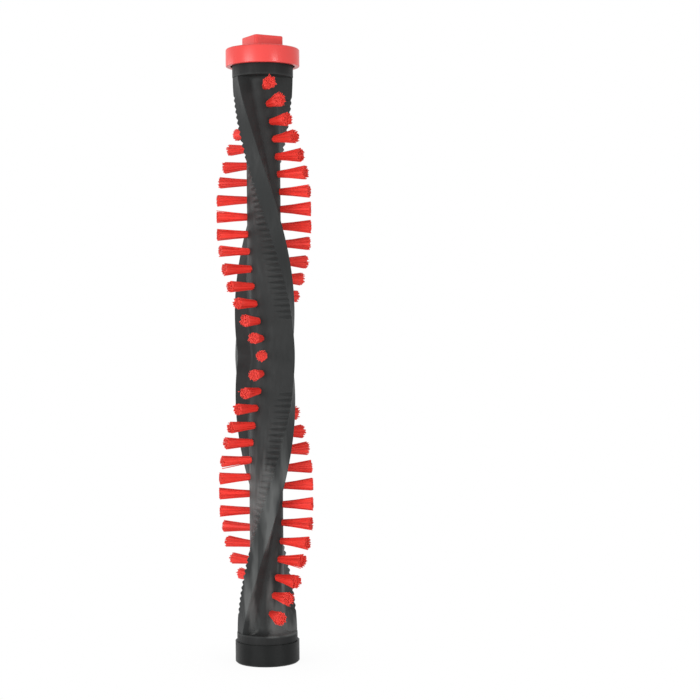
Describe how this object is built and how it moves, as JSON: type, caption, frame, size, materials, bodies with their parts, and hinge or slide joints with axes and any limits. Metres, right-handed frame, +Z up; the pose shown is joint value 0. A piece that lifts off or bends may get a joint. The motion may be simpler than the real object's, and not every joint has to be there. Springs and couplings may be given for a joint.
{
  "type": "vacuum roller brush",
  "caption": "Vacuum roller brush: a black core with twisted toothed fins, red bristle tufts set in V-shaped rows, a keyed drive end and a red bearing cap with a square lug.",
  "frame": {"origin": "centre of the drive-end face, on the roller axis", "axes": "+Z up the roller axis towards the bearing cap, -Y towards the front, where the front row has its apex"},
  "size_m": [0.0397, 0.0397, 0.2617],
  "materials": {
    "roller_plastic": "moulded, soft sheen",
    "collar_plastic": "moulded, satin",
    "axle_steel": "ground",
    "bush_bronze": "sintered, oiled",
    "cap_plastic": "moulded, glossy",
    "anchor_wire": "drawn wire",
    "bristle": "nylon filament bundle"
  },
  "bodies": {
    "roller": {"roller_body": "roller_plastic", "drive_end_cap": "collar_plastic", "stub_axle": "axle_steel", "tuft_anchors": "anchor_wire", "tuft_pair_01": "bristle", "tuft_pair_02": "bristle", "tuft_pair_03": "bristle", "tuft_pair_04": "bristle", "tuft_pair_05": "bristle", "tuft_pair_06": "bristle", "tuft_pair_07": "bristle", "tuft_pair_08": "bristle", "tuft_pair_09": "bristle", "tuft_pair_10": "bristle", "tuft_pair_11": "bristle", "tuft_pair_12": "bristle", "tuft_pair_13": "bristle", "tuft_pair_14": "bristle", "tuft_pair_15": "bristle", "tuft_pair_16": "bristle", "tuft_pair_17": "bristle", "tuft_pair_18": "bristle", "tuft_pair_19": "bristle", "tuft_pair_20": "bristle", "tuft_pair_21": "bristle", "tuft_pair_22": "bristle", "tuft_pair_23": "bristle", "tuft_pair_24": "bristle", "tuft_pair_25": "bristle", "tuft_pair_26": "bristle", "tuft_pair_27": "bristle", "tuft_pair_28": "bristle", "tuft_pair_29": "bristle", "tuft_pair_30": "bristle", "tuft_pair_31": "bristle"},
    "end_block": {"bearing_cap": "cap_plastic", "bearing_bush": "bush_bronze"}
  },
  "joints": [
    {"name": "cap_spin", "type": "hinge", "parent": "roller", "child": "end_block", "pos_m": [0, 0, 0.2566], "axis": [0, 0, 1], "continuous": true}
  ]
}
